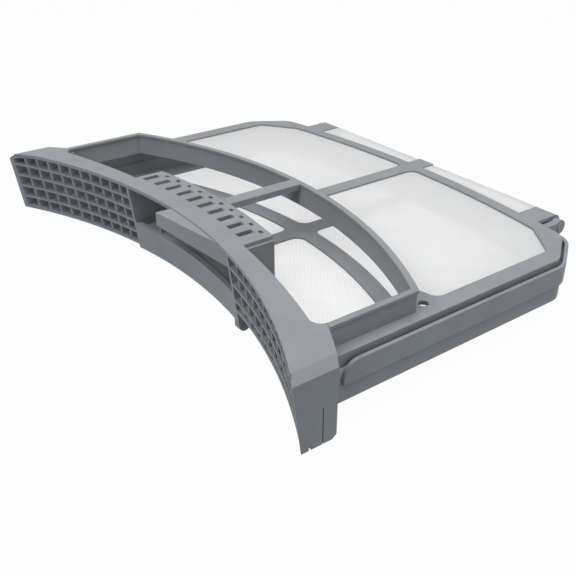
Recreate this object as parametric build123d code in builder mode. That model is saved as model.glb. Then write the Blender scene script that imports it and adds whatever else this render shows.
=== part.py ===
from build123d import *
import math
import os

# Tumble dryer lint filter: a bowed grille head on a flat mesh frame, with a mesh tray hinged under it.
# Millimetres. +X along the head, +Y from the grille to the hinge, +Z up, origin under the middle.

# Overall sizes
HEAD_WIDTH = 345.0
HEAD_HEIGHT = 56.0
HINGE_REACH = 251.0
KNUCKLE_RADIUS = 6.5

# Head: bowed front with a leaning grille
FRONT_RADIUS = 348.0
FRONT_LEAN = 0.13
HEAD_DEPTH = 26.5
BAND_MIDDLE = 10.3
BAND_RADIUS = 465.0
HEAD_SKIN = 2.5
END_WALL = 3.0
GRILLE_DEPTH = 8.0
GRILLE_BOTTOM = 10.5
GRILLE_ROWS = 5
GRILLE_COLUMNS = 11
GRILLE_RIB = 1.7
RIB_SETBACK = 2.2
GRILLE_MARGIN = 2.0
INLET_HALF = 146.0
SILL_TOP = 20.2
DROOP_WIDTH = 22.5
DROOP = 2.0
BEVEL_WIDTH = 5.0
BEVEL_DROP = 6.0

# Head: spring tab in each end wall
TAB_START = 18.3
TAB_TOP = 31.0
TAB_CHAMFER = 3.0
SLIT = 0.6
NOTCH_PLACE = 11.0
NOTCH_WIDTH = 1.4
NOTCH_HEIGHT = 2.0

# Head: finger pocket between the two grilles
POCKET_HALF = 61.0
POCKET_WALL = 2.4
POCKET_DEPTH = 32.0
POCKET_BOTTOM = 22.0
LIP_TOP = 28.0
LIP_BOTTOM = 8.0
LIP_WALL = 2.4
GRIP_START = -12.0
GRIP_REACH = 10.0
GRIP_END_SETBACK = 5.4
GRIP_STEP = 0.6
GRIP_WALL = 5.0
GRIP_COVER = 14.0
GRIP_HEIGHT = 9.0
GRIP_ROUND = 3.5
GRIP_RIB = 1.4
SLOT_COUNT = 10
SLOT_PITCH = 11.8
SLOT_WIDTH = 6.2
SLOT_LENGTH = 9.5
SLOT_PLACE = 18.7
TINY_SLOT_WIDTH = 3.4
TINY_SLOT_LENGTH = 2.4
TINY_SLOT_PLACE = 28.0

# Head: sensing tab that hangs behind the lip at one end
KEY_PLACE = 60.0
KEY_WIDTH = 5.0
KEY_RADIUS = 4.5
KEY_SETBACK = 1.5

# Upper frame
FRAME_HALF = 158.0
FRAME_TOP = 43.0
FRAME_THICKNESS = 2.4
FRAME_REACH = 244.0
FRAME_BACK_RADIUS = 707.0
SIDE_REACH = 203.0
CORNER_HALF = 140.0
CORNER_ROUND = 14.0
SKIRT_DEPTH = 5.0
SKIRT_WALL = 2.0
RIM_HALF = 151.0
RIM_CORNER_REACH = 95.0
RIM_REACH = 135.0
RIM_WALL = 2.2
RIM_BEAD = 0.8
RIM_BEAD_HEIGHT = 1.6
THROAT_ROUND = 6.0
STRUT_HALF = 5.0
STRUT_HEIGHT = 4.0
BAR_HALF = 5.5
BACK_BAR = 9.0
WINDOW_HALF = 147.0
WINDOW_LEDGE = 3.5
WINDOW_FRONT_HALF = 128.0
WINDOW_SIDE_REACH = 115.0
WINDOW_CORNER_HALF = 122.0
WINDOW_CORNER_SLOPE = 0.75
WINDOW_ROUND = 6.0
HOLE_RADIUS = 2.8
HOLE_HALF = 147.0
HOLE_REACH = 104.5

# Hinge
LUG_HALF = 8.0
LUG_SPAN = 110.0
CENTRE_LUG_HALF = 7.0
CENTRE_KNUCKLE_HALF = 3.0
CENTRE_BRACKET_WIDTH = 3.2
PIN_RADIUS = 3.0
PIN_CLEARANCE = 0.05
PIN_PROUD = 0.8
SNAP_MOUTH = 5.2
BRACKET_WIDTH = 5.0
BRACKET_RADIUS = 4.8
CENTRE_BRACKET_RADIUS = 3.8
HINGE_GAP = 0.4
RAIL_OFFSET = 2.0
RAIL_WIDTH = 1.6

# Lower tray
TRAY_GAP = 1.8
TRAY_WALL = 2.2
TRAY_INSET = 1.5
TRAY_TOP = 40.0
TRAY_CREASE = 28.0
TRAY_BOTTOM = 17.5
TRAY_FLOOR = 2.2
TRAY_FRONT_GAP = 0.8
TRAY_RIM_REACH = 39.0
TRAY_RIM_ROUND = 10.0
TRAY_BORDER = 10.0
TRAY_WINDOW_HALF = 143.0
TRAY_RIB_REACH = 131.0
TRAY_RIB_WIDTH = 12.0
TRAY_CENTRE_RIB_HALF = 6.0
TRAY_WINDOW_ROUND = 7.0
TRAY_WALL_LAP = 1.5

# Mesh panels, bonded into a rebate round each window
MESH_THICKNESS = 0.5
MESH_SINK = 1.2
MESH_MARGIN = 2.5
MESH_SLACK = 0.1
REAR_MESH_SINK = 0.6
REAR_MESH_LAP = 1.2

# Places worked out from the sizes above
JOIN_GAP = 0.1
CORNER_SETBACK = BEVEL_DROP * FRONT_LEAN
DEPTH = HINGE_REACH + KNUCKLE_RADIUS - CORNER_SETBACK
FRONT = -DEPTH / 2 - CORNER_SETBACK
HEAD_HALF = HEAD_WIDTH / 2
FRONT_APEX = FRONT + FRONT_RADIUS - math.sqrt(FRONT_RADIUS**2 - HEAD_HALF**2)
BAND_APEX = FRONT_APEX + BAND_MIDDLE
HEAD_BACK_APEX = FRONT_APEX + HEAD_DEPTH
POCKET_BACK_APEX = FRONT_APEX + POCKET_DEPTH
POCKET_OUTER = POCKET_HALF + POCKET_WALL
LEAN_DIRECTION = (0, FRONT_LEAN, -1)
LEAN_STRETCH = math.hypot(1, FRONT_LEAN)
WALL_START = (HEAD_HEIGHT - GRILLE_BOTTOM) * FRONT_LEAN + LIP_WALL / 3
THROAT_HALF = RIM_HALF - RIM_WALL - RIM_BEAD
FRAME_BOTTOM = FRAME_TOP - FRAME_THICKNESS
RIM_APEX = FRONT + RIM_REACH
RIM_SAG = RIM_REACH - RIM_CORNER_REACH
RIM_RADIUS = (RIM_HALF**2 + RIM_SAG**2) / (2 * RIM_SAG)
FRAME_APEX = FRONT + FRAME_REACH
SIDE_END = FRONT + SIDE_REACH
HINGE_Y = FRONT + HINGE_REACH
HINGE_Z = FRAME_TOP - KNUCKLE_RADIUS
RAIL_BACK = HINGE_Y + RAIL_OFFSET + RAIL_WIDTH
MESH_TOP = FRAME_TOP - MESH_SINK
REAR_MESH_BOTTOM = FRAME_TOP - REAR_MESH_SINK - MESH_THICKNESS
TRAY_FLOOR_TOP = TRAY_BOTTOM + TRAY_FLOOR
TRAY_MESH_TOP = TRAY_FLOOR_TOP - MESH_SINK
TRAY_FRONT_APEX = HEAD_BACK_APEX + TRAY_FRONT_GAP
SIDES = (-1, 1)


def bow(apex, radius, x):
    """Y of a bow whose crown points at the hinge."""
    return apex - radius + math.sqrt(radius**2 - x**2)


def bow_arc(apex, radius, start, end):
    """Arc along a bow from one x to another."""
    middle = (start + end) / 2
    return ThreePointArc(*[(x, bow(apex, radius, x)) for x in (start, middle, end)])


def bowed_face(front, back, start, end, mode=Mode.ADD):
    """Face between two bows, each given as an apex and a radius, from one x to another."""
    with BuildLine() as outline:
        bow_arc(*front, start, end)
        Line((end, bow(*front, end)), (end, bow(*back, end)))
        bow_arc(*back, end, start)
        Line((start, bow(*back, start)), (start, bow(*front, start)))
    make_face(outline.edges(), mode=mode)


def head_strip(front_apex, back_apex, start, end, mode=Mode.ADD):
    """Strip of the head's plan between two bows of the front radius."""
    bowed_face((front_apex, FRONT_RADIUS), (back_apex, FRONT_RADIUS), start, end, mode)


def frame_outline(grow, front_apex, mode=Mode.ADD):
    """Outline of the frame, grown by an even distance on its sides and back."""
    corner_y = bow(FRAME_APEX, FRAME_BACK_RADIUS, CORNER_HALF)
    turn = math.atan2(FRAME_HALF - CORNER_HALF, corner_y - SIDE_END)
    back_turn = math.asin(CORNER_HALF / FRAME_BACK_RADIUS)
    miter = (math.cos(turn) + math.sin(back_turn)) / (1 + math.sin(turn + back_turn))
    half = FRAME_HALF + grow
    side_end = SIDE_END + grow * math.tan(turn / 2)
    corner_half = CORNER_HALF + grow * miter
    back = (FRAME_APEX + grow, FRAME_BACK_RADIUS + grow)
    grown_corner_y = bow(*back, corner_half)
    front_y = bow(front_apex, FRONT_RADIUS, half)
    with BuildLine() as outline:
        bow_arc(front_apex, FRONT_RADIUS, -half, half)
        Polyline((half, front_y), (half, side_end), (corner_half, grown_corner_y))
        bow_arc(*back, corner_half, -corner_half)
        Polyline((-corner_half, grown_corner_y), (-half, side_end), (-half, front_y))
    area = make_face(outline.edges(), mode=Mode.PRIVATE).face()
    corners = area.vertices().sort_by(Axis.Y)[-4:]
    add(area.fillet_2d(CORNER_ROUND + grow, corners), mode=mode)


def throat_area(inset, mode=Mode.ADD):
    """Area inside the throat rim, running out over the front of the head."""
    half = RIM_HALF - inset
    back = (RIM_APEX - inset, RIM_RADIUS - inset)
    with BuildLine() as outline:
        Polyline((-half, bow(*back, half)), (-half, FRONT), (half, FRONT), (half, bow(*back, half)))
        bow_arc(*back, half, -half)
    make_face(outline.edges(), mode=mode)


def upper_window(side, grow, mode=Mode.ADD):
    """Large window of the upper frame with cut corners, grown by an even distance."""
    front = (RIM_APEX + WINDOW_LEDGE - grow, RIM_RADIUS + WINDOW_LEDGE - grow)
    back = (FRAME_APEX - BACK_BAR + grow, FRAME_BACK_RADIUS - BACK_BAR + grow)
    inner = BAR_HALF - grow
    outer = WINDOW_HALF + grow
    front_half = WINDOW_FRONT_HALF + grow / 2
    back_half = WINDOW_CORNER_HALF + grow / 2
    back_y = bow(*back, back_half)
    side_front = FRONT + WINDOW_SIDE_REACH - grow / 2
    side_back = back_y - (outer - back_half) * WINDOW_CORNER_SLOPE
    with BuildLine() as outline:
        bow_arc(*front, side * inner, side * front_half)
        Polyline(
            (side * front_half, bow(*front, front_half)),
            (side * outer, side_front),
            (side * outer, side_back),
            (side * back_half, back_y),
        )
        bow_arc(*back, side * back_half, side * inner)
        Line((side * inner, bow(*back, inner)), (side * inner, bow(*front, inner)))
    make_face(outline.edges(), mode=mode)


def rear_strip(side, slack, mode=Mode.ADD):
    """Narrow strip between the back bar, two lugs and the rear rail."""
    inner = side * (CENTRE_LUG_HALF + slack)
    outer = side * (LUG_SPAN - LUG_HALF - slack)
    front = (FRAME_APEX - REAR_MESH_LAP + slack, FRAME_BACK_RADIUS)
    with BuildLine() as outline:
        bow_arc(*front, inner, outer)
        Polyline(
            (outer, bow(*front, outer)),
            (outer, RAIL_BACK),
            (inner, RAIL_BACK),
            (inner, bow(*front, inner)),
        )
    make_face(outline.edges(), mode=mode)


def tray_front_window(side, grow, mode=Mode.ADD):
    """Tray window between the front border and the bowed rib."""
    front = (TRAY_FRONT_APEX + TRAY_BORDER - grow, FRONT_RADIUS)
    back = (FRONT + TRAY_RIB_REACH + grow, RIM_RADIUS)
    start = side * (TRAY_CENTRE_RIB_HALF - grow)
    end = side * (TRAY_WINDOW_HALF + grow)
    bowed_face(front, back, start, end, mode)


def tray_back_window(side, grow, mode=Mode.ADD):
    """Tray window between the bowed rib and the rear border."""
    front = (FRONT + TRAY_RIB_REACH + TRAY_RIB_WIDTH - grow, RIM_RADIUS)
    back = (FRAME_APEX - BACK_BAR + grow, FRAME_BACK_RADIUS - BACK_BAR + grow)
    inner = TRAY_CENTRE_RIB_HALF - grow
    outer = TRAY_WINDOW_HALF + grow
    back_half = WINDOW_CORNER_HALF + grow / 2
    back_y = bow(*back, back_half)
    side_back = back_y - (outer - back_half) * WINDOW_CORNER_SLOPE
    with BuildLine() as outline:
        bow_arc(*front, side * inner, side * outer)
        Polyline((side * outer, bow(*front, outer)), (side * outer, side_back), (side * back_half, back_y))
        bow_arc(*back, side * back_half, side * inner)
        Line((side * inner, bow(*back, inner)), (side * inner, bow(*front, inner)))
    make_face(outline.edges(), mode=mode)


os.makedirs("parts", exist_ok=True)

# Sloping slab under the drooping, bevelled ends of the head
bevel_low = HEAD_HEIGHT - BEVEL_DROP
bevel_start = HEAD_HALF - BEVEL_WIDTH
bevel_high = HEAD_HEIGHT - DROOP
droop_start = HEAD_HALF - DROOP_WIDTH
slab_front = FRONT_APEX + (BEVEL_DROP + END_WALL) * FRONT_LEAN
with BuildPart() as bevel_slab:
    with BuildSketch(Plane.XZ.offset(-FRONT)):
        for side in SIDES:
            with BuildLine():
                Polyline(
                    (side * droop_start, HEAD_HEIGHT),
                    (side * bevel_start, bevel_high),
                    (side * HEAD_HALF, bevel_low),
                    (side * HEAD_HALF, bevel_low - END_WALL),
                    (side * bevel_start, bevel_high - END_WALL),
                    (side * droop_start, HEAD_HEIGHT - END_WALL),
                    close=True,
                )
            make_face()
    extrude(amount=-DEPTH / 2)
    with BuildSketch():
        head_strip(slab_front, HEAD_BACK_APEX, -HEAD_HALF, HEAD_HALF)
    extrude(amount=HEAD_HEIGHT, mode=Mode.INTERSECT)

# Straight finger grip that stands forward of the bowed band at one end and runs in under it at the other
grip_left = Vector(GRIP_START, bow(FRONT_APEX, FRONT_RADIUS, GRIP_START) - GRIP_REACH)
grip_right = Vector(POCKET_OUTER, bow(FRONT_APEX, FRONT_RADIUS, POCKET_OUTER) + GRIP_END_SETBACK)
grip_top = HEAD_HEIGHT - GRIP_STEP
grip_bottom = HEAD_HEIGHT - GRIP_HEIGHT


def grip_strip(depth):
    """Strip of an even depth behind the grip's straight front."""
    back = Vector(0, depth)
    with BuildLine() as outline:
        Polyline(grip_left, grip_right, grip_right + back, grip_left + back, close=True)
    make_face(outline.edges())


with BuildPart() as grip_block:
    with BuildSketch(Plane.XY.offset(grip_bottom)):
        grip_strip(GRIP_WALL)
    extrude(amount=grip_top - grip_bottom)
    grip_edges = grip_block.edges().sort_by(SortBy.LENGTH)[-4:].sort_by(Axis.Y)[:2]
    fillet(grip_edges.sort_by(Axis.Z)[0], GRIP_ROUND)
    with BuildSketch(Plane.XY.offset(HEAD_HEIGHT - HEAD_SKIN)):
        grip_strip(GRIP_COVER)
    extrude(amount=HEAD_SKIN - GRIP_STEP)

# Shallow recess along each row of cells, which sets the upright ribs back from the bars
grille_start = POCKET_OUTER
grille_end = HEAD_HALF - END_WALL
column_pitch = (grille_end - grille_start + GRILLE_RIB) / GRILLE_COLUMNS
row_low = GRILLE_BOTTOM + GRILLE_MARGIN
row_high = HEAD_HEIGHT - HEAD_SKIN
row_pitch = (row_high - row_low + GRILLE_RIB) / GRILLE_ROWS
lip_apex = FRONT_APEX + (HEAD_HEIGHT - LIP_TOP) * FRONT_LEAN
pocket_floor_apex = FRONT_APEX + (HEAD_HEIGHT - POCKET_BOTTOM) * FRONT_LEAN + LIP_WALL / 3
wall_apex = FRONT_APEX + WALL_START
tab_y = FRONT + TAB_START
lip_foot = bow(lip_apex, FRONT_RADIUS, KEY_PLACE) + (LIP_TOP - LIP_BOTTOM) * FRONT_LEAN
key_y = lip_foot + KEY_SETBACK + KEY_RADIUS
tab_end = FRONT + HEAD_DEPTH + SLIT
recess = (FRONT_APEX - RIB_SETBACK, FRONT_APEX + RIB_SETBACK)
with BuildPart() as rib_recess:
    with BuildSketch(Plane.XY.offset(HEAD_HEIGHT)):
        for side in SIDES:
            head_strip(*recess, side * grille_start, side * grille_end)
    extrude(amount=(HEAD_HEIGHT - GRILLE_BOTTOM) * LEAN_STRETCH, dir=LEAN_DIRECTION)
    with BuildSketch(Plane.XZ.offset(DEPTH)):
        with Locations((0, (row_low + row_high) / 2)):
            with GridLocations(0, row_pitch, 1, GRILLE_ROWS):
                Rectangle(HEAD_WIDTH, row_pitch - GRILLE_RIB)
    extrude(amount=-2 * DEPTH, mode=Mode.INTERSECT)

# Grille head
with BuildPart() as grille_head:
    # Deep front walls of the two grilles, leaning back towards the bottom
    with BuildSketch(Plane.XY.offset(HEAD_HEIGHT)):
        for side in SIDES:
            head_strip(FRONT_APEX, FRONT_APEX + GRILLE_DEPTH, side * POCKET_HALF, side * HEAD_HALF)
    extrude(amount=(HEAD_HEIGHT - GRILLE_BOTTOM) * LEAN_STRETCH, dir=LEAN_DIRECTION)
    # Open cells
    with BuildSketch(Plane.XZ.offset(-FRONT)):
        for side in SIDES:
            with Locations((side * (grille_start + grille_end) / 2, (row_low + row_high) / 2)):
                with GridLocations(column_pitch, row_pitch, GRILLE_COLUMNS, GRILLE_ROWS):
                    Rectangle(column_pitch - GRILLE_RIB, row_pitch - GRILLE_RIB)
    extrude(amount=-DEPTH / 2, mode=Mode.SUBTRACT)
    add(rib_recess.part, mode=Mode.SUBTRACT)
    # Lip below the finger pocket
    with BuildSketch(Plane.XY.offset(LIP_TOP)):
        head_strip(lip_apex, lip_apex + LIP_WALL, -POCKET_OUTER, POCKET_OUTER)
    extrude(amount=(LIP_TOP - LIP_BOTTOM) * LEAN_STRETCH, dir=LEAN_DIRECTION)
    # Top band with the throat cut away
    with BuildSketch(Plane.XY.offset(HEAD_HEIGHT)):
        head_strip(FRONT_APEX, wall_apex, -HEAD_HALF, HEAD_HALF)
    extrude(amount=HEAD_SKIN * LEAN_STRETCH, dir=LEAN_DIRECTION)
    with BuildSketch(Plane.XY.offset(HEAD_HEIGHT - HEAD_SKIN)):
        head_strip(FRONT_APEX + HEAD_SKIN, HEAD_BACK_APEX, -HEAD_HALF, HEAD_HALF)
    extrude(amount=HEAD_SKIN)
    with BuildSketch(Plane.XY.offset(HEAD_HEIGHT - HEAD_SKIN)) as throat_cut:
        bowed_face((BAND_APEX, BAND_RADIUS), (RIM_APEX, RIM_RADIUS), -THROAT_HALF, THROAT_HALF)
        fillet(throat_cut.vertices().sort_by(Axis.Y)[:2], THROAT_ROUND)
    extrude(amount=HEAD_SKIN, mode=Mode.SUBTRACT)
    # Floor, sill below the inlet, walls under the pocket, end walls and rear walls beside the inlet
    with BuildSketch(Plane.XY.offset(GRILLE_BOTTOM)):
        head_strip(wall_apex, HEAD_BACK_APEX, -HEAD_HALF, HEAD_HALF)
    extrude(amount=HEAD_SKIN)
    with BuildSketch(Plane.XY.offset(GRILLE_BOTTOM + HEAD_SKIN)):
        head_strip(HEAD_BACK_APEX - HEAD_SKIN, HEAD_BACK_APEX, -HEAD_HALF, HEAD_HALF)
    extrude(amount=SILL_TOP - GRILLE_BOTTOM - HEAD_SKIN)
    with BuildSketch(Plane.XY.offset(GRILLE_BOTTOM + HEAD_SKIN)):
        for side in SIDES:
            head_strip(wall_apex, HEAD_BACK_APEX - HEAD_SKIN / 2, side * POCKET_HALF, side * POCKET_OUTER)
    extrude(amount=POCKET_BOTTOM - GRILLE_BOTTOM - HEAD_SKIN)
    with BuildSketch(Plane.XY.offset(GRILLE_BOTTOM + HEAD_SKIN)):
        for side in SIDES:
            head_strip(wall_apex, HEAD_BACK_APEX - HEAD_SKIN / 2, side * grille_end, side * HEAD_HALF)
    extrude(amount=HEAD_HEIGHT - 2 * HEAD_SKIN - GRILLE_BOTTOM)
    with BuildSketch(Plane.XY.offset(SILL_TOP)):
        for side in SIDES:
            head_strip(HEAD_BACK_APEX - HEAD_SKIN, HEAD_BACK_APEX, side * INLET_HALF, side * HEAD_HALF)
    extrude(amount=HEAD_HEIGHT - HEAD_SKIN - SILL_TOP)
    # Drooping, bevelled ends
    add(bevel_slab.part)
    with BuildSketch(Plane.XZ.offset(-FRONT)):
        for side in SIDES:
            with BuildLine():
                Polyline(
                    (side * droop_start, HEAD_HEIGHT),
                    (side * bevel_start, bevel_high),
                    (side * HEAD_HALF, bevel_low),
                    (side * HEAD_HALF, HEAD_HEIGHT),
                    close=True,
                )
            make_face()
    extrude(amount=-DEPTH / 2, mode=Mode.SUBTRACT)
    # Finger pocket: side walls, rear wall, floor, roof, grip and slots through the roof
    with BuildSketch(Plane.XY.offset(POCKET_BOTTOM)):
        for side in SIDES:
            head_strip(wall_apex, POCKET_BACK_APEX, side * POCKET_HALF, side * POCKET_OUTER)
        head_strip(POCKET_BACK_APEX - POCKET_WALL, POCKET_BACK_APEX, -POCKET_OUTER, POCKET_OUTER)
    extrude(amount=HEAD_HEIGHT - HEAD_SKIN - POCKET_BOTTOM)
    with BuildSketch(Plane.XY.offset(POCKET_BOTTOM)):
        head_strip(pocket_floor_apex, POCKET_BACK_APEX, -POCKET_OUTER, POCKET_OUTER)
    extrude(amount=POCKET_WALL)
    with BuildSketch(Plane.XY.offset(HEAD_HEIGHT - HEAD_SKIN)):
        head_strip(FRONT_APEX + HEAD_SKIN, POCKET_BACK_APEX, -POCKET_OUTER, POCKET_OUTER)
    extrude(amount=HEAD_SKIN)
    add(grip_block.part)
    with BuildSketch(Plane.XY.offset(HEAD_HEIGHT - HEAD_SKIN)):
        for number in range(SLOT_COUNT):
            slot_x = (number - (SLOT_COUNT - 1) / 2) * SLOT_PITCH
            slot_y = bow(FRONT_APEX, FRONT_RADIUS, slot_x)
            with Locations((slot_x, slot_y + SLOT_PLACE)):
                Rectangle(SLOT_WIDTH, SLOT_LENGTH)
            with Locations((slot_x, slot_y + TINY_SLOT_PLACE)):
                Rectangle(TINY_SLOT_WIDTH, TINY_SLOT_LENGTH)
    extrude(amount=HEAD_SKIN, mode=Mode.SUBTRACT)
    # Rib that carries the grip's free end
    rib_back = bow(POCKET_BACK_APEX, FRONT_RADIUS, GRIP_START) - POCKET_WALL / 2
    rib_front = grip_left.Y + GRIP_WALL / 2
    with BuildSketch(Plane.XY.offset(POCKET_BOTTOM)):
        with Locations((GRIP_START + GRIP_RIB / 2, (rib_front + rib_back) / 2)):
            Rectangle(GRIP_RIB, rib_back - rib_front)
    extrude(amount=grip_bottom + GRIP_ROUND - POCKET_BOTTOM)
    # Sensing tab with a round foot, hanging from the floor
    with BuildSketch(Plane.YZ.offset(KEY_PLACE - KEY_WIDTH / 2)):
        with Locations((key_y, KEY_RADIUS)):
            Circle(KEY_RADIUS)
        with Locations((key_y, (KEY_RADIUS + GRILLE_BOTTOM + HEAD_SKIN) / 2)):
            Rectangle(2 * KEY_RADIUS, GRILLE_BOTTOM + HEAD_SKIN - KEY_RADIUS)
    extrude(amount=KEY_WIDTH)
    # Spring tabs: a slit in each end wall, cut free of the floor and rear wall, with a chamfered foot
    for side in SIDES:
        with BuildSketch(Plane.YZ.offset(side * HEAD_HALF)):
            with Locations((tab_y, TAB_TOP / 2)):
                Rectangle(SLIT, TAB_TOP)
            with Locations((FRONT + NOTCH_PLACE, GRILLE_BOTTOM)):
                Rectangle(NOTCH_WIDTH, 2 * NOTCH_HEIGHT)
            with BuildLine():
                Polyline(
                    (tab_end, GRILLE_BOTTOM),
                    (tab_end, GRILLE_BOTTOM + TAB_CHAMFER),
                    (tab_end - TAB_CHAMFER, GRILLE_BOTTOM),
                    close=True,
                )
            make_face()
        extrude(amount=-side * END_WALL, mode=Mode.SUBTRACT)
    with BuildSketch(Plane.XY.offset(GRILLE_BOTTOM)):
        for side in SIDES:
            with Locations((side * (grille_end - SLIT / 2), tab_y + HEAD_DEPTH / 2)):
                Rectangle(SLIT, HEAD_DEPTH)
    extrude(amount=TAB_TOP - GRILLE_BOTTOM, mode=Mode.SUBTRACT)
grille_head.part.label = "grille_head"
export_step(grille_head.part, "parts/grille_head.step")

# Upper frame
frame_front_apex = HEAD_BACK_APEX + JOIN_GAP
lugs = [(-LUG_SPAN, LUG_HALF), (0, CENTRE_LUG_HALF), (LUG_SPAN, LUG_HALF)]
knuckles = [(-LUG_SPAN, LUG_HALF), (0, CENTRE_KNUCKLE_HALF), (LUG_SPAN, LUG_HALF)]
with BuildPart() as upper_frame:
    # Flat plate with a skirt under its edge
    with BuildSketch(Plane.XY.offset(FRAME_BOTTOM)):
        frame_outline(0, frame_front_apex)
        throat_area(RIM_WALL, Mode.SUBTRACT)
    extrude(amount=FRAME_THICKNESS)
    with BuildSketch(Plane.XY.offset(FRAME_BOTTOM - SKIRT_DEPTH)):
        frame_outline(0, frame_front_apex)
        frame_outline(-SKIRT_WALL, FRONT_APEX, Mode.SUBTRACT)
    extrude(amount=SKIRT_DEPTH)
    # Throat rim with a bead along its top, stopping at the head
    with BuildSketch(Plane.XY.offset(FRAME_BOTTOM)):
        throat_area(0)
        throat_area(RIM_WALL, Mode.SUBTRACT)
        head_strip(FRONT_APEX - HEAD_DEPTH, frame_front_apex, -FRAME_HALF, FRAME_HALF, Mode.SUBTRACT)
    extrude(amount=HEAD_HEIGHT - FRAME_BOTTOM)
    with BuildSketch(Plane.XY.offset(HEAD_HEIGHT - RIM_BEAD_HEIGHT)):
        throat_area(-RIM_BEAD)
        throat_area(RIM_WALL + RIM_BEAD, Mode.SUBTRACT)
        head_strip(FRONT_APEX - HEAD_DEPTH, frame_front_apex, -FRAME_HALF, FRAME_HALF, Mode.SUBTRACT)
    extrude(amount=RIM_BEAD_HEIGHT)
    # Strut across the throat
    strut_front = (POCKET_BACK_APEX + JOIN_GAP, FRONT_RADIUS)
    strut_back = (RIM_APEX - RIM_WALL / 2, RIM_RADIUS)
    with BuildSketch(Plane.XY.offset(HEAD_HEIGHT - STRUT_HEIGHT)):
        bowed_face(strut_front, strut_back, -STRUT_HALF, STRUT_HALF)
    extrude(amount=STRUT_HEIGHT)
    # Mesh windows with a rebate underneath, and two locating holes
    with BuildSketch(Plane.XY.offset(MESH_TOP)) as windows:
        for side in SIDES:
            upper_window(side, 0)
        fillet(windows.vertices(), WINDOW_ROUND)
    extrude(amount=MESH_SINK, mode=Mode.SUBTRACT)
    with BuildSketch(Plane.XY.offset(FRAME_BOTTOM)) as rebates:
        for side in SIDES:
            upper_window(side, MESH_MARGIN)
        fillet(rebates.vertices(), WINDOW_ROUND + MESH_MARGIN)
    extrude(amount=FRAME_THICKNESS - MESH_SINK, mode=Mode.SUBTRACT)
    with BuildSketch(Plane.XY.offset(FRAME_BOTTOM)):
        for side in SIDES:
            with Locations((side * HOLE_HALF, FRONT + HOLE_REACH)):
                Circle(HOLE_RADIUS)
    extrude(amount=FRAME_THICKNESS, mode=Mode.SUBTRACT)
    # Lug plates over the hinge, the middle one reaching back to the rail
    for lug_x, lug_half in lugs:
        lug_front = bow(FRAME_APEX, FRAME_BACK_RADIUS, abs(lug_x) + lug_half) - BACK_BAR / 3
        lug_back = HINGE_Y if lug_x else RAIL_BACK
        with BuildSketch(Plane.XY.offset(FRAME_BOTTOM)):
            with Locations((lug_x, (lug_front + lug_back) / 2)):
                Rectangle(2 * lug_half, lug_back - lug_front)
        extrude(amount=FRAME_THICKNESS)
    # Rail between the lugs that carries the rear mesh
    with BuildSketch(Plane.XY.offset(REAR_MESH_BOTTOM - RAIL_WIDTH)):
        with Locations((0, RAIL_BACK - RAIL_WIDTH / 2)):
            Rectangle(2 * LUG_SPAN, RAIL_WIDTH)
    extrude(amount=RAIL_WIDTH)
    # Knuckles that clip over the pins, each open at the bottom
    for knuckle_x, knuckle_half in knuckles:
        with BuildSketch(Plane.YZ.offset(knuckle_x - knuckle_half)):
            with Locations((HINGE_Y, HINGE_Z)):
                Circle(KNUCKLE_RADIUS)
        extrude(amount=2 * knuckle_half)
        with BuildSketch(Plane.YZ.offset(knuckle_x - knuckle_half)):
            with Locations((HINGE_Y, HINGE_Z)):
                Circle(PIN_RADIUS + PIN_CLEARANCE)
            with Locations((HINGE_Y, HINGE_Z - KNUCKLE_RADIUS / 2)):
                Rectangle(SNAP_MOUTH, KNUCKLE_RADIUS)
        extrude(amount=2 * knuckle_half, mode=Mode.SUBTRACT)
    # Seat for the rear mesh along the back bar
    with BuildSketch(Plane.XY.offset(REAR_MESH_BOTTOM)):
        for side in SIDES:
            rear_strip(side, 0)
    extrude(amount=FRAME_TOP - REAR_MESH_BOTTOM, mode=Mode.SUBTRACT)
upper_frame.part.label = "upper_frame"
export_step(upper_frame.part, "parts/upper_frame.step")

# Lower tray
rim_outer = TRAY_GAP + TRAY_WALL
wall_outer = rim_outer - TRAY_INSET
wall_inner = wall_outer - TRAY_WALL
rim_front = FRONT + TRAY_RIM_REACH
outer_x = LUG_SPAN + LUG_HALF + HINGE_GAP + BRACKET_WIDTH / 2
centre_x = CENTRE_KNUCKLE_HALF + HINGE_GAP + CENTRE_BRACKET_WIDTH / 2
brackets = []
for side in SIDES:
    brackets.append((side * outer_x, BRACKET_WIDTH, BRACKET_RADIUS))
    brackets.append((side * centre_x, CENTRE_BRACKET_WIDTH, CENTRE_BRACKET_RADIUS))
outer_pin = 2 * LUG_HALF + HINGE_GAP + BRACKET_WIDTH + 2 * PIN_PROUD
centre_pin = 2 * (CENTRE_KNUCKLE_HALF + HINGE_GAP + CENTRE_BRACKET_WIDTH)
pins = [(-centre_pin / 2, centre_pin)]
for side in SIDES:
    pins.append((side * (LUG_SPAN - LUG_HALF - PIN_PROUD), side * outer_pin))
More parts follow.
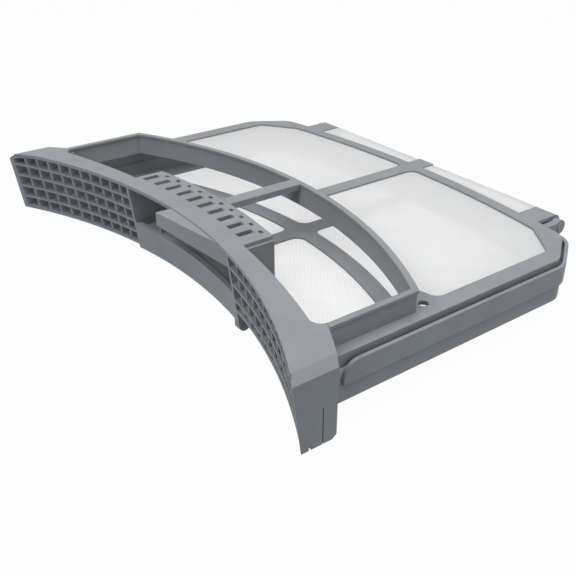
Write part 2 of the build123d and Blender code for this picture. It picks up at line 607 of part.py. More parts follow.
with BuildPart() as lower_tray:
    # Upper rim round the outside of the frame, with rounded front ends
    with BuildSketch(Plane.XY.offset(TRAY_CREASE)):
        frame_outline(rim_outer, TRAY_FRONT_APEX)
        frame_outline(TRAY_GAP, FRONT_APEX, Mode.SUBTRACT)
    extrude(amount=TRAY_TOP - TRAY_CREASE)
    with BuildSketch(Plane.YZ.offset(-HEAD_HALF)):
        with BuildLine():
            Polyline(
                (rim_front, TRAY_CREASE),
                (rim_front, TRAY_TOP - TRAY_RIM_ROUND),
            )
            RadiusArc(
                (rim_front, TRAY_TOP - TRAY_RIM_ROUND),
                (rim_front + TRAY_RIM_ROUND, TRAY_TOP),
                TRAY_RIM_ROUND,
            )
            Polyline(
                (rim_front + TRAY_RIM_ROUND, TRAY_TOP),
                (FRONT, TRAY_TOP),
                (FRONT, TRAY_CREASE),
                (rim_front, TRAY_CREASE),
            )
        make_face()
    extrude(amount=HEAD_WIDTH, mode=Mode.SUBTRACT)
    # Gap in the rim for the middle knuckle
    with BuildSketch(Plane.XY.offset(TRAY_CREASE)):
        with Locations((0, FRAME_APEX)):
            Rectangle(2 * (CENTRE_KNUCKLE_HALF + HINGE_GAP), 4 * TRAY_WALL + 2 * TRAY_GAP)
    extrude(amount=TRAY_TOP - TRAY_CREASE, mode=Mode.SUBTRACT)
    # Lower wall, stepped in under the rim, and floor
    with BuildSketch(Plane.XY.offset(TRAY_BOTTOM)):
        frame_outline(wall_outer, TRAY_FRONT_APEX)
        frame_outline(wall_inner, FRONT_APEX, Mode.SUBTRACT)
    extrude(amount=TRAY_CREASE + TRAY_WALL_LAP - TRAY_BOTTOM)
    with BuildSketch(Plane.XY.offset(TRAY_BOTTOM)):
        frame_outline(wall_outer, TRAY_FRONT_APEX)
    extrude(amount=TRAY_FLOOR)
    # Mesh windows with a rebate underneath
    with BuildSketch(Plane.XY.offset(TRAY_MESH_TOP)) as tray_windows:
        for side in SIDES:
            tray_front_window(side, 0)
            tray_back_window(side, 0)
        fillet(tray_windows.vertices(), TRAY_WINDOW_ROUND)
    extrude(amount=MESH_SINK, mode=Mode.SUBTRACT)
    with BuildSketch(Plane.XY.offset(TRAY_BOTTOM)) as tray_rebates:
        for side in SIDES:
            tray_front_window(side, MESH_MARGIN)
            tray_back_window(side, MESH_MARGIN)
        fillet(tray_rebates.vertices(), TRAY_WINDOW_ROUND + MESH_MARGIN)
    extrude(amount=TRAY_FLOOR - MESH_SINK, mode=Mode.SUBTRACT)
    # Hinge brackets behind the rim
    for bracket_x, bracket_width, bracket_radius in brackets:
        arm_front = bow(FRAME_APEX + TRAY_GAP + TRAY_WALL / 2, FRAME_BACK_RADIUS, bracket_x)
        arm_bottom = HINGE_Z - bracket_radius
        with BuildSketch(Plane.YZ.offset(bracket_x - bracket_width / 2)):
            with Locations((HINGE_Y, HINGE_Z)):
                Circle(bracket_radius)
            with Locations(((arm_front + HINGE_Y) / 2, (arm_bottom + TRAY_TOP) / 2)):
                Rectangle(HINGE_Y - arm_front, TRAY_TOP - arm_bottom)
        extrude(amount=bracket_width)
    # Hinge pins
    for pin_x, pin_length in pins:
        with BuildSketch(Plane.YZ.offset(pin_x)):
            with Locations((HINGE_Y, HINGE_Z)):
                Circle(PIN_RADIUS)
        extrude(amount=pin_length)
lower_tray.part.label = "lower_tray"
export_step(lower_tray.part, "parts/lower_tray.step")

# Mesh panels
panel_margin = MESH_MARGIN - MESH_SLACK
window_panels = [
    ("upper_mesh", upper_window, MESH_TOP, WINDOW_ROUND),
    ("tray_mesh_front", tray_front_window, TRAY_MESH_TOP, TRAY_WINDOW_ROUND),
    ("tray_mesh_back", tray_back_window, TRAY_MESH_TOP, TRAY_WINDOW_ROUND),
]
for side, side_name in zip(SIDES, ("left", "right")):
    for panel_name, panel_outline, panel_top, panel_round in window_panels:
        with BuildPart() as panel:
            with BuildSketch(Plane.XY.offset(panel_top)) as panel_shape:
                panel_outline(side, panel_margin)
                fillet(panel_shape.vertices(), panel_round + panel_margin)
            extrude(amount=-MESH_THICKNESS)
        panel.part.label = panel_name + "_" + side_name
        export_step(panel.part, "parts/" + panel.part.label + ".step")
    with BuildPart() as rear_panel:
        with BuildSketch(Plane.XY.offset(REAR_MESH_BOTTOM)):
            rear_strip(side, MESH_SLACK)
        extrude(amount=MESH_THICKNESS)
    rear_panel.part.label = "rear_mesh_" + side_name
    export_step(rear_panel.part, "parts/" + rear_panel.part.label + ".step")
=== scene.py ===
import math

import bmesh
import bpy
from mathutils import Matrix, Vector, noise


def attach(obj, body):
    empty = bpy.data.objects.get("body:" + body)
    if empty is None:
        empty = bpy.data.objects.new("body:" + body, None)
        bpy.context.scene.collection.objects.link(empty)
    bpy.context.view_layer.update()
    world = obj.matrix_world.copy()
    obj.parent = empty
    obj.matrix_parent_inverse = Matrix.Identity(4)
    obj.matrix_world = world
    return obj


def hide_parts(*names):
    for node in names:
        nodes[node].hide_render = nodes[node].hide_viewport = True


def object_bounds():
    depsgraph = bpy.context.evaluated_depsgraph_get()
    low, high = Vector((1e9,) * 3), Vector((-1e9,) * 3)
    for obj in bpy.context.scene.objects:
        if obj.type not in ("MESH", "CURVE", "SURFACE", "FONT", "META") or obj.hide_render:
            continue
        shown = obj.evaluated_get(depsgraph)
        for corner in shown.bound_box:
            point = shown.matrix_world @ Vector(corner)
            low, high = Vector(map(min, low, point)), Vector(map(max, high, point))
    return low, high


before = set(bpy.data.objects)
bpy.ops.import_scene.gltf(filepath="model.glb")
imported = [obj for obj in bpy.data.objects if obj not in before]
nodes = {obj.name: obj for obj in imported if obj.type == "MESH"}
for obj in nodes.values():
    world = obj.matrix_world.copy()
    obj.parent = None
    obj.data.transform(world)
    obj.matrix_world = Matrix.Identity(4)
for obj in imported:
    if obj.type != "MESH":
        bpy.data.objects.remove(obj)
cad_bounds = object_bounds()

# Camera fitted to the photograph, in the part's frame, in metres
CAMERA_PLACE = Vector((0.38733, -0.28930, 0.25173))
CAMERA_AIM = Vector((-0.69907, 0.51630, -0.49471))
CAMERA_LENS = 49.19
SENSOR_WIDTH = 36.0

# Plastic, floor and air
GREY = (0.286, 0.298, 0.318)
FLOOR_REACH = 6.0
FLOOR_GAP = 0.0002
FLOOR_COLOUR = (0.46, 0.52, 0.565, 1.0)
FLOOR_WHITE = 0.97
AMBIENT_COLOUR = (0.9, 0.96, 1.0, 1.0)
AMBIENT_STRENGTH = 0.03

# Woven mesh
SHEET_COLUMNS = 110
SHEET_ROWS = 90
SHEET_SAG = 0.00035
SHEET_RIPPLE = 0.00012
RIPPLE_SCALE = 45
RIPPLE_EDGE = 4
EDGE_INSET = 0.0005
THREAD_WHITE = (0.97, 0.972, 0.975)
UPPER_COVER = (0.80, 0.97)
TRAY_COVER = (0.32, 0.66)
THREAD_PITCH = 0.0009
WAVE_FACTOR = 20
WEAVE_TURN = math.radians(38)
MESH_BODIES = {
    "upper_mesh_left": ("upper_half", ["upper_frame"]),
    "upper_mesh_right": ("upper_half", ["upper_frame"]),
    "rear_mesh_left": ("upper_half", ["upper_frame"]),
    "rear_mesh_right": ("upper_half", ["upper_frame"]),
    "tray_mesh_front_left": ("tray", ["lower_tray"]),
    "tray_mesh_front_right": ("tray", ["lower_tray"]),
    "tray_mesh_back_left": ("tray", ["lower_tray"]),
    "tray_mesh_back_right": ("tray", ["lower_tray"]),
}


# Head, in millimetres, in the part's frame
HEAD_TOP = 56.0
HEAD_SKIN = 2.5
HEAD_UNDER = HEAD_TOP - HEAD_SKIN
HEAD_DEPTH = 26.5
FRONT_RADIUS = 348.0
FRONT_APEX = -83.38
FRONT_LEAN = 0.13
BOW_STEP = 4.0
BAND_WIDTH = 11.7
ROOF_LEFT = 69.5
ROOF_RIGHT = 57.2

# Grilles of the head
GRILLE_DEPTH = 8.0
GRILLE_RIB = 1.7
GRILLE_END = 169.5
GRILLE_COLUMNS = 11
GRILLE_START_LEFT = 63.4
GRILLE_START_RIGHT = 59.0
GRILLE_LOW_LEFT = 12.0
UPRIGHT_SETBACK = 0.9
UPRIGHT_REACH = 3.0
RIGHT_FOOT = 15.3
RIGHT_RIM = 2.0
RIGHT_BARS = 3
RIGHT_BAR_TOP = 46.65
RIGHT_BAR_PITCH = 11.05
RIGHT_FLOOR = RIGHT_FOOT + RIGHT_RIM / 2
FLOOR_SETBACK = 7.1

# Underside of the head's drooping end: from one x to another, height and fall
DROOP_START = 150.0
BEVEL_START = 167.5
END_SLOPES = ((DROOP_START, BEVEL_START, 53.0, 2.0), (BEVEL_START, GRILLE_END, 51.0, 1.6))

# Finger pocket, lip and grip
POCKET_HALF = 61.0
POCKET_WALL = 2.4
POCKET_DEPTH = 32.0
POCKET_FLOOR = 22.0
POCKET_INNER = GRILLE_START_RIGHT - POCKET_WALL
LIP_FOOT = 8.0
LIP_TOP = 28.0
LIP_WALL = 2.4
LIP_THICK = 3.6
GRIP_START = -12.0
GRIP_BOTTOM = 47.0
GRIP_TOP = 55.4
GRIP_REACH = 10.0
GRIP_WALL = 5.0
GRIP_RIGHT = (63.4, -83.8)
GRIP_DROP = 3.4
GRIP_PLATE = 0.4
GRIP_END_INTO = 0.3
FIN_WIDTH = 1.2
FIN_LENGTH = 13.0
FIN_DROP = 6.0

# Tab under the lip
KEY_PLACE = 55.0
KEY_WIDTH = 5.0
KEY_RADIUS = 4.0
KEY_FOOT = 0.02
KEY_SETBACK = 0.5
KEY_STEPS = 12

# Slots in the roof: shift along x, depth of the middle, width and length
SLOT_COUNT = 10
SLOT_PITCH = 12.0
SLOT_SIZES = ((-9.2, 19.2, 4.6, 10.6), (-5.0, 28.0, 3.4, 2.4))
SLOT_LOW = 52.0
SLOT_HIGH = 58.0

# Forms of the solid head that are taken out or filled
OLD_POCKET_END = 63.6
OLD_FLOOR = 9.0
OLD_KEY_BACK = 20.0
OLD_RIB_WIDTH = 1.4
OLD_RIB_BACK = 26.0
OLD_RIB_FOOT_BACK = 24.0
OLD_SLOTS_START = -62.0
OLD_SLOTS_FRONT = 12.0

# Reach of a cut past a surface, of a form into its neighbour, and small clearances
PAST = 1.0
INTO = 0.5
WALL_CLEAR = 0.4
CLEAR = 0.1
HAIR = 0.015

# Clean mesh of the head, in metres and radians
WELD = 1e-6
SHARP_ANGLE = math.radians(4)

# Lamps: place, size and power
LAMP_AIM = Vector((0, 0, 0.03))
LAMPS = {
    "softbox": ((0.15, -0.05, 1.2), 1.3, 14.3),
    "front_fill": ((0.15, -1.1, 0.9), 0.6, 6.2),
    "right_fill": ((0.95, 0.6, 0.45), 0.5, 1.9),
}


def new_material(name):
    material = bpy.data.materials.new(name)
    material.use_nodes = True
    tree = material.node_tree
    tree.nodes.clear()
    return material, tree


def add_node(tree, kind, **values):
    """Adds a shader node, with its settings by name and its inputs by socket name."""
    node = tree.nodes.new(kind)
    for name, value in values.items():
        socket = name.replace("_", " ").title()
        if hasattr(node, name):
            setattr(node, name, value)
        else:
            node.inputs[socket].default_value = value
    return node


def plastic_material(name, colour):
    """Satin moulded plastic: fine grain, faint flow clouds and slightly paler edges."""
    material, tree = new_material(name)
    link = tree.links.new
    output = add_node(tree, "ShaderNodeOutputMaterial")
    shader = add_node(tree, "ShaderNodeBsdfPrincipled")
    place = add_node(tree, "ShaderNodeTexCoord")
    clouds = add_node(tree, "ShaderNodeTexNoise", scale=38.0, detail=4.0, roughness=0.55)
    grain = add_node(tree, "ShaderNodeTexNoise", scale=2600.0, detail=2.0, roughness=0.5)
    soft_edge = add_node(tree, "ShaderNodeBevel", samples=4, radius=0.0006)
    bump = add_node(tree, "ShaderNodeBump", strength=0.22, distance=0.00012)
    tint = add_node(tree, "ShaderNodeValToRGB")
    low = tint.color_ramp.elements[0]
    high = tint.color_ramp.elements[1]
    low.position = 0.3
    high.position = 0.7
    low.color = [0.93 * part for part in colour] + [1.0]
    high.color = [1.06 * part for part in colour] + [1.0]
    rough = add_node(tree, "ShaderNodeMapRange", to_min=0.4, to_max=0.56)
    link(place.outputs["Object"], clouds.inputs["Vector"])
    link(place.outputs["Object"], grain.inputs["Vector"])
    link(clouds.outputs["Fac"], tint.inputs["Fac"])
    link(tint.outputs["Color"], shader.inputs["Base Color"])
    link(grain.outputs["Fac"], rough.inputs["Value"])
    link(rough.outputs["Result"], shader.inputs["Roughness"])
    link(grain.outputs["Fac"], bump.inputs["Height"])
    link(soft_edge.outputs["Normal"], bump.inputs["Normal"])
    link(bump.outputs["Normal"], shader.inputs["Normal"])
    link(shader.outputs["BSDF"], output.inputs["Surface"])
    shader.inputs["Specular IOR Level"].default_value = 0.2
    return material


def mesh_material(name, colour, cover):
    """Plain weave of fine white threads, turned on the bias, with the light coming through and painted
    shade along the gaps between the threads.
    """
    material, tree = new_material(name)
    link = tree.links.new
    output = add_node(tree, "ShaderNodeOutputMaterial")
    shader = add_node(tree, "ShaderNodeBsdfPrincipled")
    place = add_node(tree, "ShaderNodeTexCoord")
    turn = add_node(tree, "ShaderNodeMapping")
    turn.inputs["Rotation"].default_value = (0.0, 0.0, WEAVE_TURN)
    scale = math.tau / THREAD_PITCH / WAVE_FACTOR
    warp = add_node(tree, "ShaderNodeTexWave", bands_direction="X", scale=scale)
    weft = add_node(tree, "ShaderNodeTexWave", bands_direction="Y", scale=scale)
    threads = add_node(tree, "ShaderNodeMath", operation="MAXIMUM")
    clouds = add_node(tree, "ShaderNodeTexNoise", scale=55.0, detail=3.0)
    cloud_shade = add_node(tree, "ShaderNodeMapRange", to_min=0.95, to_max=1.03)
    # Painted shade: the thread colour is darker towards the gaps between threads, where their curved edges
    # would be in shade
    shade = add_node(tree, "ShaderNodeMapRange", to_min=0.9, to_max=1.0)
    both = add_node(tree, "ShaderNodeMath", operation="MULTIPLY")
    tint = add_node(tree, "ShaderNodeMix", data_type="RGBA", blend_type="MULTIPLY")
    opacity = add_node(tree, "ShaderNodeMapRange", to_min=cover[0], to_max=cover[1])
    bump = add_node(tree, "ShaderNodeBump", strength=0.35, distance=0.00015)
    link(place.outputs["Object"], turn.inputs["Vector"])
    link(turn.outputs["Vector"], warp.inputs["Vector"])
    link(turn.outputs["Vector"], weft.inputs["Vector"])
    link(place.outputs["Object"], clouds.inputs["Vector"])
    link(warp.outputs["Fac"], threads.inputs[0])
    link(weft.outputs["Fac"], threads.inputs[1])
    link(threads.outputs["Value"], shade.inputs["Value"])
    link(clouds.outputs["Fac"], cloud_shade.inputs["Value"])
    link(shade.outputs["Result"], both.inputs[0])
    link(cloud_shade.outputs["Result"], both.inputs[1])
    link(both.outputs["Value"], tint.inputs["B"])
    tint.inputs["Factor"].default_value = 1.0
    tint.inputs["A"].default_value = (*colour, 1.0)
    link(tint.outputs["Result"], shader.inputs["Base Color"])
    link(threads.outputs["Value"], opacity.inputs["Value"])
    link(threads.outputs["Value"], bump.inputs["Height"])
    link(bump.outputs["Normal"], shader.inputs["Normal"])
    glow = add_node(tree, "ShaderNodeBsdfTranslucent")
    cloth = add_node(tree, "ShaderNodeMixShader")
    hole = add_node(tree, "ShaderNodeBsdfTransparent")
    weave = add_node(tree, "ShaderNodeMixShader")
    link(tint.outputs["Result"], glow.inputs["Color"])
    link(shader.outputs["BSDF"], cloth.inputs[1])
    link(glow.outputs["BSDF"], cloth.inputs[2])
    link(opacity.outputs["Result"], weave.inputs["Fac"])
    link(hole.outputs["BSDF"], weave.inputs[1])
    link(cloth.outputs["Shader"], weave.inputs[2])
    link(weave.outputs["Shader"], output.inputs["Surface"])
    cloth.inputs["Fac"].default_value = 0.28
    shader.inputs["Roughness"].default_value = 0.62
    shader.inputs["Sheen Weight"].default_value = 0.15
    return material


def outline_spans(mesh, columns):
    """The lowest and highest y of a flat panel at each of an even row of x places."""
    edges = []
    for edge in mesh.edges:
        ends = [mesh.vertices[index].co for index in edge.vertices]
        edges.append(ends)
    low_x = min(v.co.x for v in mesh.vertices)
    high_x = max(v.co.x for v in mesh.vertices)
    spans = []
    for number in range(columns + 1):
        x = low_x + (high_x - low_x) * (EDGE_INSET + (1 - 2 * EDGE_INSET) * number / columns)
        hits = []
        for start, end in edges:
            reach = end.x - start.x
            if (start.x - x) * (end.x - x) <= 0 and abs(reach) > 1e-9:
                hits.append(start.y + (end.y - start.y) * (x - start.x) / reach)
        spans.append((x, min(hits), max(hits)))
    return spans


def woven_sheet(name, material):
    """A stretched sheet in the place of a flat CAD panel, a little slack between its bonded edges."""
    body, carriers = MESH_BODIES[name]
    source = nodes[name].data
    top = max(v.co.z for v in source.vertices)
    bottom = min(v.co.z for v in source.vertices)
    middle = (top + bottom) / 2
    spans = outline_spans(source, SHEET_COLUMNS)
    shape = bmesh.new()
    grid = []
    for column, (x, low, high) in enumerate(spans):
        line = []
        across = math.sin(math.pi * column / SHEET_COLUMNS)
        for row in range(SHEET_ROWS + 1):
            y = low + (high - low) * row / SHEET_ROWS
            along = math.sin(math.pi * row / SHEET_ROWS)
            slack = across * along
            ripple = noise.noise(Vector((x, y, 2 * top)) * RIPPLE_SCALE)
            z = middle - SHEET_SAG * slack + SHEET_RIPPLE * ripple * min(1.0, RIPPLE_EDGE * slack)
            line.append(shape.verts.new((x, y, z)))
        grid.append(line)
    for left, right in zip(grid[:-1], grid[1:]):
        for row in range(SHEET_ROWS):
            shape.faces.new((left[row], right[row], right[row + 1], left[row + 1]))
    area = sum(face.calc_area() for face in shape.faces)
    mesh = bpy.data.meshes.new(name + "_weave")
    shape.to_mesh(mesh)
    shape.free()
    for polygon in mesh.polygons:
        polygon.use_smooth = True
    sheet = bpy.data.objects.new(name + "_weave", mesh)
    bpy.context.scene.collection.objects.link(sheet)
    mesh.materials.append(material)
    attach(sheet, body)
    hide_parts(name)


def bow(x):
    """Y of the head's bowed front at its top."""
    return FRONT_APEX - FRONT_RADIUS + math.sqrt(FRONT_RADIUS**2 - x**2)


def prism(shape, rings):
    """Closed body through a row of rings of points, in millimetres."""
    lines = [[shape.verts.new(Vector(point) / 1000) for point in ring] for ring in rings]
    count = len(lines[0])
    for near, far in zip(lines[:-1], lines[1:]):
        for number in range(count):
            after = (number + 1) % count
            shape.faces.new((near[number], near[after], far[after], far[number]))
    shape.faces.new(lines[0][::-1])
    shape.faces.new(lines[-1])


def strip(shape, along, depth, height, lean=0.0, fall=0.0):
    """Bar that follows the bow, from one x, depth and height to another; its top may fall on the way."""
    steps = max(1, round(abs(along[1] - along[0]) / BOW_STEP))
    rings = []
    for number in range(steps + 1):
        x = along[0] + (along[1] - along[0]) * number / steps
        top = height[1] - fall * number / steps
        corners = [(depth[0], height[0]), (depth[1], height[0]), (depth[1], top), (depth[0], top)]
        rings.append([(x, bow(x) + inset + (HEAD_TOP - z) * lean, z) for inset, z in corners])
    prism(shape, rings)


def upright_places(start, side):
    """X of each upright rib between the columns of cells."""
    pitch = (GRILLE_END - start + GRILLE_RIB) / GRILLE_COLUMNS
    middle = (start + GRILLE_END) / 2
    first = 1 - GRILLE_COLUMNS / 2
    return [side * (middle + (first + number) * pitch) for number in range(GRILLE_COLUMNS - 1)]


def old_forms(shape):
    """What the real head lacks: the solid's right grille, end of the pocket, rib and tab."""
    right = (GRILLE_START_RIGHT, GRILLE_END)
    wall = (-PAST, GRILLE_DEPTH + WALL_CLEAR)
    strip(shape, (GRILLE_START_RIGHT, DROOP_START), wall, (OLD_FLOOR, HEAD_UNDER), FRONT_LEAN)
    for start, end, top, fall in END_SLOPES:
        strip(shape, (start - HAIR, end), wall, (OLD_FLOOR, top), FRONT_LEAN, fall)
    strip(shape, right, (-PAST, HEAD_DEPTH + PAST), (OLD_FLOOR, RIGHT_FOOT))
    pocket_end = (GRILLE_START_RIGHT, OLD_POCKET_END)
    strip(shape, pocket_end, (-PAST, POCKET_DEPTH + PAST), (LIP_FOOT - PAST, HEAD_UNDER))
    roof_end = (ROOF_RIGHT, OLD_POCKET_END)
    strip(shape, roof_end, (BAND_WIDTH, POCKET_DEPTH + PAST), (HEAD_UNDER - CLEAR, HEAD_TOP + PAST))
    strip(shape, (KEY_PLACE + PAST, OLD_POCKET_END), (-PAST, OLD_KEY_BACK), (-PAST, LIP_FOOT - HAIR))
    rib = (GRIP_START - CLEAR, GRIP_START + OLD_RIB_WIDTH + CLEAR)
    rib_top = GRIP_BOTTOM - HAIR
    pocket_low = POCKET_FLOOR + POCKET_WALL + HAIR
    strip(shape, rib, (-GRIP_REACH - 2 * PAST, -HAIR), (POCKET_FLOOR - CLEAR, rib_top), FRONT_LEAN)
    strip(shape, rib, (-PAST, OLD_RIB_BACK), (LIP_TOP + HAIR, rib_top), FRONT_LEAN)
    strip(shape, rib, (LIP_WALL + HAIR, OLD_RIB_FOOT_BACK), (pocket_low, LIP_TOP + PAST), FRONT_LEAN)


def add_grilles(shape):
    """Flush uprights on both sides, and the four rows and the floor of the right grille."""
    half_rib = GRILLE_RIB / 2
    upright_top = HEAD_UNDER + INTO
    for x in upright_places(GRILLE_START_LEFT, -1):
        upright = (x - half_rib, x + half_rib)
        strip(shape, upright, (UPRIGHT_SETBACK, UPRIGHT_REACH), (GRILLE_LOW_LEFT, upright_top), FRONT_LEAN)
    upright_depth = (UPRIGHT_SETBACK, GRILLE_DEPTH - HAIR)
    for x in upright_places(GRILLE_START_RIGHT, 1):
        upright = (x - half_rib, x + half_rib)
        strip(shape, upright, upright_depth, (RIGHT_FLOOR, upright_top), FRONT_LEAN)
    right = (POCKET_INNER + PAST, GRILLE_END + INTO)
    strip(shape, right, (0, GRILLE_DEPTH), (RIGHT_FOOT, RIGHT_FOOT + RIGHT_RIM), FRONT_LEAN)
    for number in range(RIGHT_BARS):
        top = RIGHT_BAR_TOP - number * RIGHT_BAR_PITCH
        strip(shape, right, (0, GRILLE_DEPTH), (top - GRILLE_RIB, top), FRONT_LEAN)
    post = (POCKET_INNER, GRILLE_START_RIGHT)
    strip(shape, post, (0, GRILLE_DEPTH), (RIGHT_FOOT, upright_top), FRONT_LEAN)
    strip(shape, right, (FLOOR_SETBACK, HEAD_DEPTH - HAIR), (RIGHT_FLOOR, RIGHT_FLOOR + HEAD_SKIN))
    strip(shape, post, (FLOOR_SETBACK, POCKET_DEPTH), (POCKET_FLOOR, HEAD_UNDER + CLEAR))


def add_grip(shape):
    """Front of the grip, with a lower edge that slopes."""
    left_y = bow(GRIP_START) - GRIP_REACH
    rings = []
    for x in (GRIP_START - GRIP_PLATE, POCKET_INNER + GRIP_END_INTO):
        part = (x - GRIP_START) / (GRIP_RIGHT[0] - GRIP_START)
        front = left_y + (GRIP_RIGHT[1] - left_y) * part - GRIP_PLATE
        back = front + GRIP_WALL
        low = GRIP_BOTTOM - GRIP_PLATE - GRIP_DROP * part
        rings.append([(x, front, low), (x, back, low), (x, back, GRIP_TOP), (x, front, GRIP_TOP)])
    prism(shape, rings)


def add_key(shape):
    """Round-ended tab that hangs under the right end of the lip."""
    middle = bow(KEY_PLACE) + (HEAD_TOP - LIP_FOOT) * FRONT_LEAN + KEY_SETBACK + KEY_RADIUS
    top = RIGHT_FLOOR + PAST
    outline = [(middle + KEY_RADIUS, top), (middle - KEY_RADIUS, top)]
    for number in range(KEY_STEPS + 1):
        turn = math.pi * number / KEY_STEPS
        height = KEY_FOOT + KEY_RADIUS * (1 - math.sin(turn))
        outline.append((middle - KEY_RADIUS * math.cos(turn), height))
    sides = (KEY_PLACE - KEY_WIDTH / 2, KEY_PLACE + KEY_WIDTH / 2)
    prism(shape, [[(x, y, z) for y, z in outline] for x in sides])


def new_forms(shape):
    """Forms of the real head: grilles, filled and wider roof, fin, thick lip, grip and tab."""
    add_grilles(shape)
    roof = (HEAD_UNDER + HAIR, HEAD_TOP)
    strip(shape, (-ROOF_LEFT, PAST - GRILLE_START_LEFT), (HEAD_SKIN, POCKET_DEPTH), roof)
    strip(shape, (OLD_SLOTS_START, POCKET_INNER), (OLD_SLOTS_FRONT, POCKET_DEPTH - PAST), roof)
    fin = (GRIP_START + HAIR, GRIP_START + FIN_WIDTH)
    fin_front = FIN_WIDTH - GRIP_REACH
    strip(shape, fin, (fin_front, fin_front + FIN_LENGTH), (GRIP_BOTTOM - FIN_DROP, HEAD_UNDER + PAST))
    lip = (-POCKET_HALF - INTO, POCKET_INNER + INTO)
    strip(shape, lip, (LIP_WALL - 2 * CLEAR, LIP_THICK), (LIP_FOOT, LIP_TOP), FRONT_LEAN)
    add_grip(shape)
    add_key(shape)


def slots(shape):
    """Two rows of slots through the roof of the pocket."""
    corners = ((-1, SLOT_LOW), (1, SLOT_LOW), (1, SLOT_HIGH), (-1, SLOT_HIGH))
    for number in range(SLOT_COUNT):
        for shift, place, wide, deep in SLOT_SIZES:
            x = (number - (SLOT_COUNT - 1) / 2) * SLOT_PITCH + shift
            ring = [(bow(x) + place + part * deep / 2, z) for part, z in corners]
            prism(shape, [[(edge, y, z) for y, z in ring] for edge in (x - wide / 2, x + wide / 2)])


def shape_object(name, maker):
    """Object with the forms that a function makes."""
    shape = bmesh.new()
    maker(shape)
    bmesh.ops.recalc_face_normals(shape, faces=shape.faces)
    mesh = bpy.data.meshes.new(name)
    shape.to_mesh(mesh)
    shape.free()
    return bpy.data.objects.new(name, mesh)


def shaped(body, tool, operation):
    """Applies one exact boolean to an object and throws the tool away."""
    bpy.context.scene.collection.objects.link(tool)
    step = body.modifiers.new(operation, "BOOLEAN")
    step.operation = operation
    step.solver = "EXACT"
    step.use_self = True
    step.object = tool
    bpy.context.view_layer.update()
    result = bpy.data.meshes.new_from_object(body.evaluated_get(bpy.context.evaluated_depsgraph_get()))
    body.modifiers.clear()
    body.data = result
    bpy.data.objects.remove(tool)


def without_flaps(mesh):
    """Makes a mesh of triangles and takes out pairs that lie back to back."""
    shape = bmesh.new()
    shape.from_mesh(mesh)
    bmesh.ops.remove_doubles(shape, verts=shape.verts, dist=WELD)
    bmesh.ops.triangulate(shape, faces=shape.faces)
    seen = {}
    for face in shape.faces:
        seen.setdefault(frozenset(face.verts), []).append(face)
    flaps = [face for group in seen.values() if len(group) > 1 for face in group]
    bmesh.ops.delete(shape, geom=flaps, context="FACES")
    shape.to_mesh(mesh)
    shape.free()


def detailed_head(material):
    """The head with the forms that its solid lacks, in the solid's place."""
    shape = bmesh.new()
    shape.from_mesh(nodes["grille_head"].data)
    bmesh.ops.remove_doubles(shape, verts=shape.verts, dist=WELD)
    mesh = bpy.data.meshes.new("grille_head_detail")
    shape.to_mesh(mesh)
    shape.free()
    head = bpy.data.objects.new("grille_head_detail", mesh)
    bpy.context.scene.collection.objects.link(head)
    shaped(head, shape_object("old_forms", old_forms), "DIFFERENCE")
    shaped(head, shape_object("new_forms", new_forms), "UNION")
    shaped(head, shape_object("slots", slots), "DIFFERENCE")
    without_flaps(head.data)
    head.data.materials.clear()
    head.data.materials.append(material)
    head.data.shade_smooth()
    head.data.set_sharp_from_angle(angle=SHARP_ANGLE)
    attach(head, "upper_half")
    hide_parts("grille_head")


grey = plastic_material("grey_moulding", GREY)
upper_weave = mesh_material("upper_weave", THREAD_WHITE, UPPER_COVER)
tray_weave = mesh_material("tray_weave", THREAD_WHITE, TRAY_COVER)

detailed_head(grey)
for name in ("upper_frame", "lower_tray"):
    mesh = nodes[name].data
    mesh.materials.clear()
    mesh.materials.append(grey)

for name in MESH_BODIES:
    woven_sheet(name, tray_weave if "tray" in name else upper_weave)


def white_for_eye(tree, shader, strength):
    """Mixes plain white over a shader for what the camera sees, straight or through gloss and mesh."""
    link = tree.links.new
    path = add_node(tree, "ShaderNodeLightPath")
    seen = add_node(tree, "ShaderNodeMath", operation="MAXIMUM")
    passed = add_node(tree, "ShaderNodeMath", operation="MAXIMUM")
    part = add_node(tree, "ShaderNodeMath", operation="MULTIPLY")
    part.inputs[1].default_value = strength
    white = add_node(tree, "ShaderNodeEmission")
    mix = add_node(tree, "ShaderNodeMixShader")
    link(path.outputs["Is Camera Ray"], seen.inputs[0])
    link(path.outputs["Is Glossy Ray"], seen.inputs[1])
    link(seen.outputs["Value"], passed.inputs[0])
    link(path.outputs["Is Transmission Ray"], passed.inputs[1])
    link(passed.outputs["Value"], part.inputs[0])
    link(part.outputs["Value"], mix.inputs["Fac"])
    link(shader.outputs[0], mix.inputs[1])
    link(white.outputs["Emission"], mix.inputs[2])
    return mix


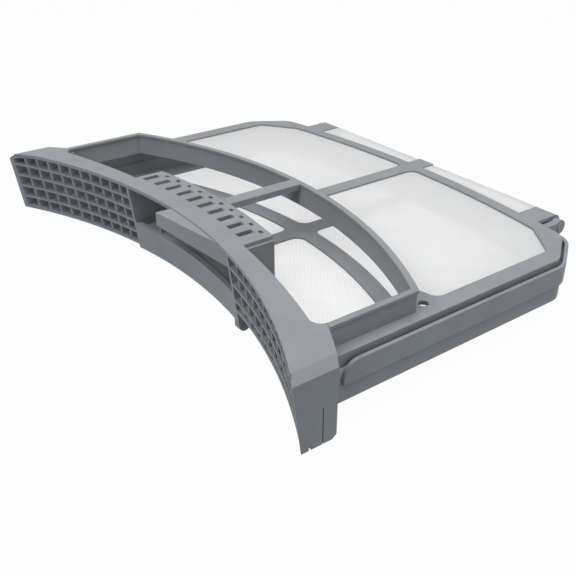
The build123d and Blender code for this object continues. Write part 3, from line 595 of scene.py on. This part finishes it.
# Plain pale floor
floor_material, floor_tree = new_material("floor_white")
floor_shader = add_node(floor_tree, "ShaderNodeBsdfDiffuse")
floor_shader.inputs["Color"].default_value = FLOOR_COLOUR
floor_mix = white_for_eye(floor_tree, floor_shader, FLOOR_WHITE)
floor_output = add_node(floor_tree, "ShaderNodeOutputMaterial")
floor_tree.links.new(floor_mix.outputs["Shader"], floor_output.inputs["Surface"])
floor_mesh = bpy.data.meshes.new("floor")
corners = [(-1, -1), (1, -1), (1, 1), (-1, 1)]
floor_mesh.from_pydata([(x * FLOOR_REACH, y * FLOOR_REACH, 0) for x, y in corners], [], [(0, 1, 2, 3)])
floor_mesh.materials.append(floor_material)
floor = bpy.data.objects.new("floor", floor_mesh)
bpy.context.scene.collection.objects.link(floor)
floor.location.z = cad_bounds[0][2] - FLOOR_GAP

# World: even studio light, white behind the object
world = bpy.data.worlds.new("studio")
world.use_nodes = True
bpy.context.scene.world = world
world_tree = world.node_tree
world_tree.nodes.clear()
ambient = add_node(world_tree, "ShaderNodeBackground")
ambient.inputs["Color"].default_value = AMBIENT_COLOUR
ambient.inputs["Strength"].default_value = AMBIENT_STRENGTH
world_mix = white_for_eye(world_tree, ambient, 1.0)
world_output = add_node(world_tree, "ShaderNodeOutputWorld")
world_tree.links.new(world_mix.outputs["Shader"], world_output.inputs["Surface"])


def area_light(name, place, size, power):
    """Soft square lamp that points at the object."""
    lamp = bpy.data.lights.new(name, "AREA")
    lamp.size = size
    lamp.energy = power
    holder = bpy.data.objects.new(name, lamp)
    holder.location = place
    holder.rotation_euler = (LAMP_AIM - Vector(place)).to_track_quat("-Z", "Y").to_euler()
    bpy.context.scene.collection.objects.link(holder)


for name, (place, size, power) in LAMPS.items():
    area_light(name, place, size, power)

# Camera
lens = bpy.data.cameras.new("photo_view")
lens.sensor_fit = "HORIZONTAL"
lens.sensor_width = SENSOR_WIDTH
lens.lens = CAMERA_LENS
lens.clip_start = 0.01
camera = bpy.data.objects.new("photo_view", lens)
camera.location = CAMERA_PLACE
camera.rotation_euler = CAMERA_AIM.to_track_quat("-Z", "Y").to_euler()
bpy.context.scene.collection.objects.link(camera)
bpy.context.scene.camera = camera

bpy.context.scene.view_settings.view_transform = "Standard"
